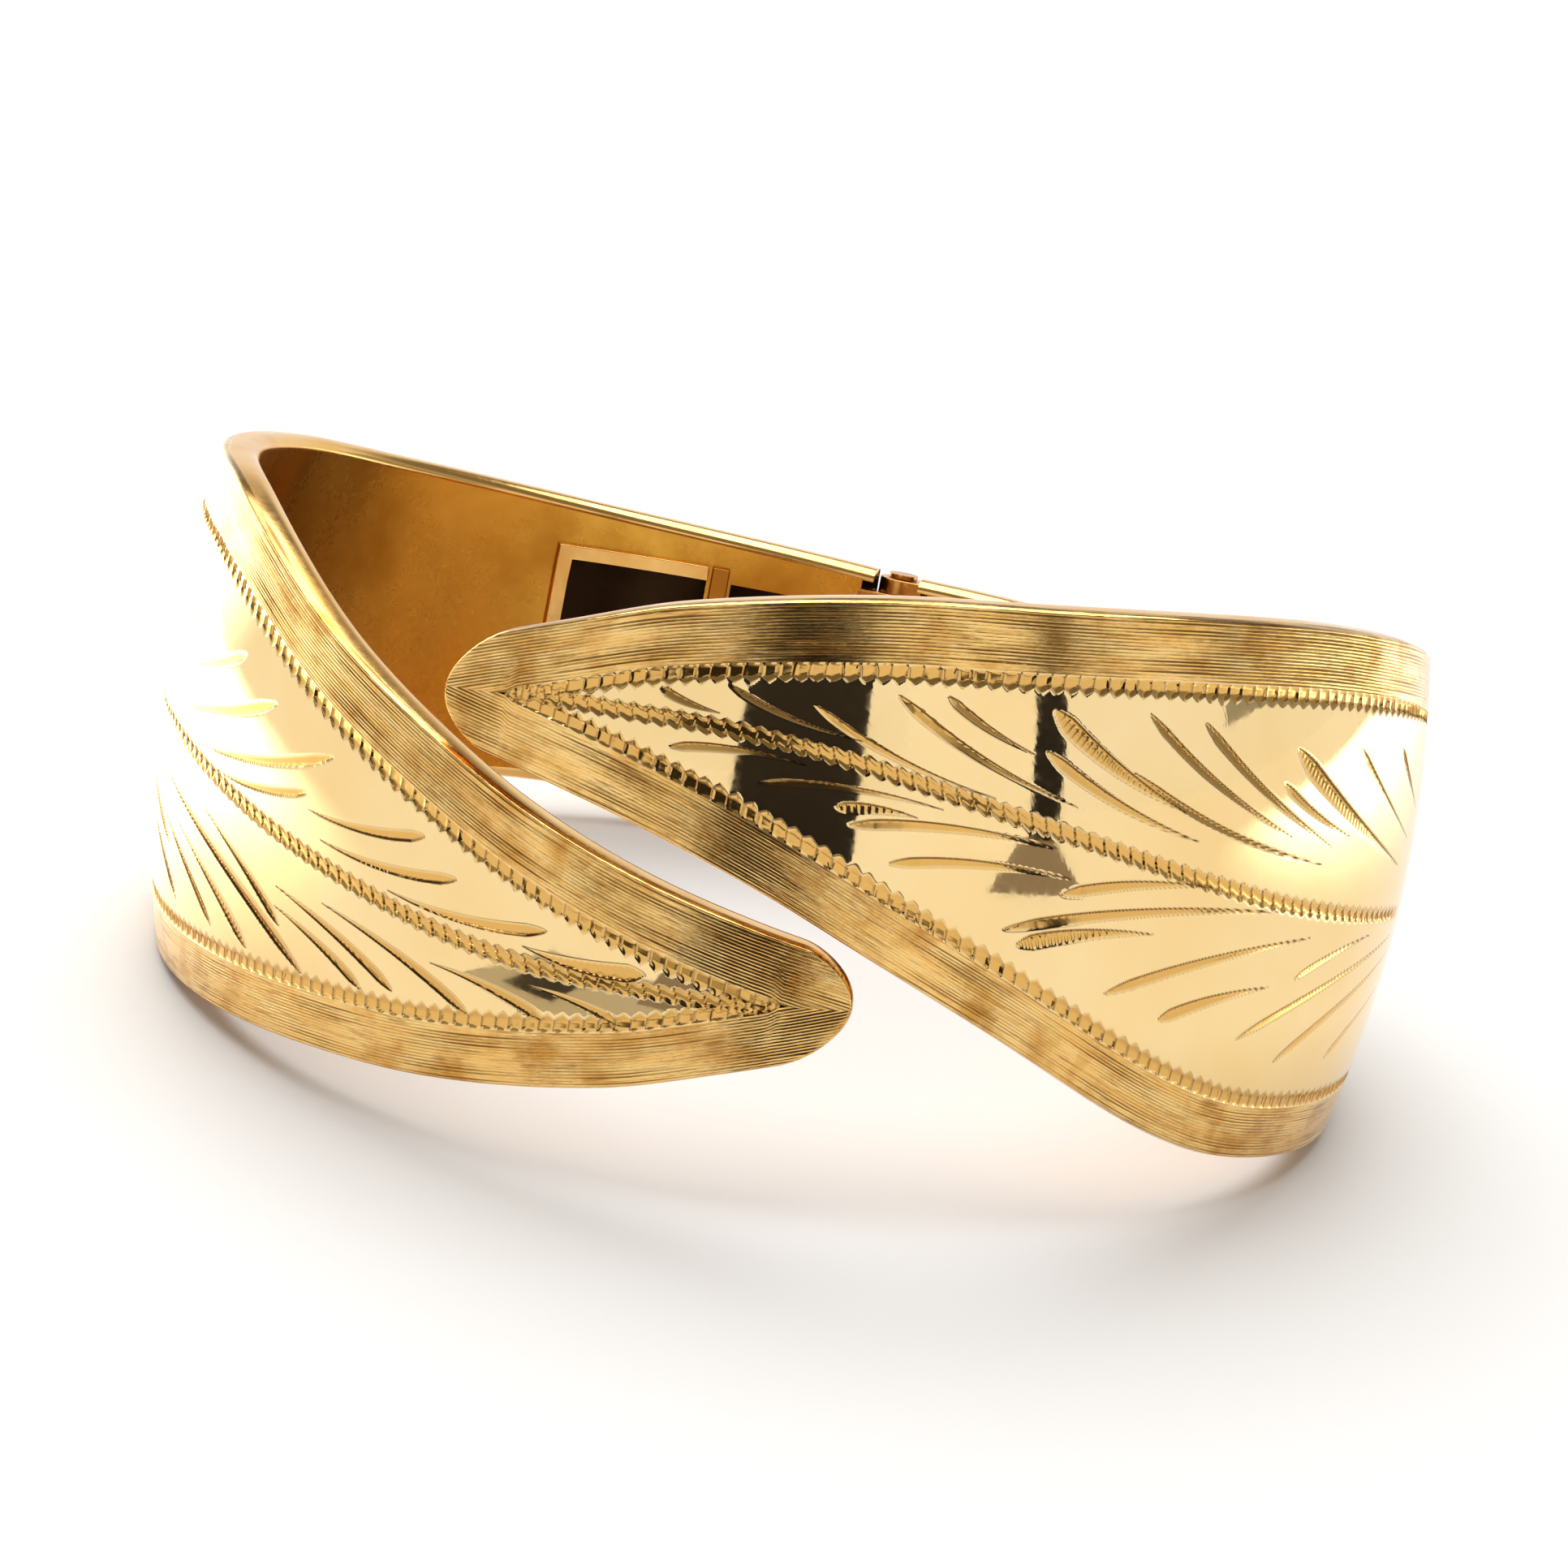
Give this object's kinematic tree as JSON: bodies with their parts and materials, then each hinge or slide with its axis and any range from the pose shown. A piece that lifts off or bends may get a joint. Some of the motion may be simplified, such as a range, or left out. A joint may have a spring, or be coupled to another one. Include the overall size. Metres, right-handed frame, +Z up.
{
  "type": "hinged bypass bangle bracelet",
  "caption": "Oval hinged bangle whose two hollow, engraved, leaf-shaped halves pass each other at the front and close on a sprung hinge at the back.",
  "frame": {"origin": "centre of the bottom of the bangle's box, on the surface it stands on", "axes": "+X from the left half to the right half, +Y from the crossing leaves to the hinge, +Z up; the wrist axis leans 8 degrees back from +Z, as the bangle stands on three stretches of its lower edge"},
  "size_m": [0.061, 0.0518, 0.0271],
  "materials": {
    "engraved_gold": "mirror-polished pale yellow gold panel inside a finely brushed border, with bright-cut engraving",
    "polished_gold": "polished yellow gold",
    "inner_gold": "polished deep yellow gold, worn on the wrist side",
    "spring_steel": "dull spring steel"
  },
  "bodies": {
    "left_half": {"left_wing_face": "engraved_gold", "left_wing_liner": "inner_gold", "left_edge_strip": "polished_gold", "left_window_frame": "polished_gold", "left_bridge_bar": "polished_gold", "left_hinge_plate": "polished_gold", "left_knuckles": "polished_gold", "left_stop_lugs": "inner_gold", "hinge_pin": "spring_steel", "pin_caps": "polished_gold", "leaf_spring": "spring_steel", "spring_rivet": "spring_steel"},
    "right_half": {"right_wing_face": "engraved_gold", "right_wing_liner": "inner_gold", "right_edge_strip": "polished_gold", "right_window_frame": "polished_gold", "right_bridge_bar": "polished_gold", "right_hinge_plate": "polished_gold", "right_knuckles": "polished_gold", "right_stop_lugs": "inner_gold", "right_spring_guide": "polished_gold"}
  },
  "joints": [
    {"name": "back_hinge", "type": "hinge", "parent": "left_half", "child": "right_half", "pos_m": [-0.00006, 0.02367, 0.0083], "axis": [0.0166, 0.1402, 0.99], "range_deg": [0, 40], "stiffness_Nm_per_rad": 0.03, "springref_deg": -28.65, "deforming": ["leaf_spring"]}
  ]
}
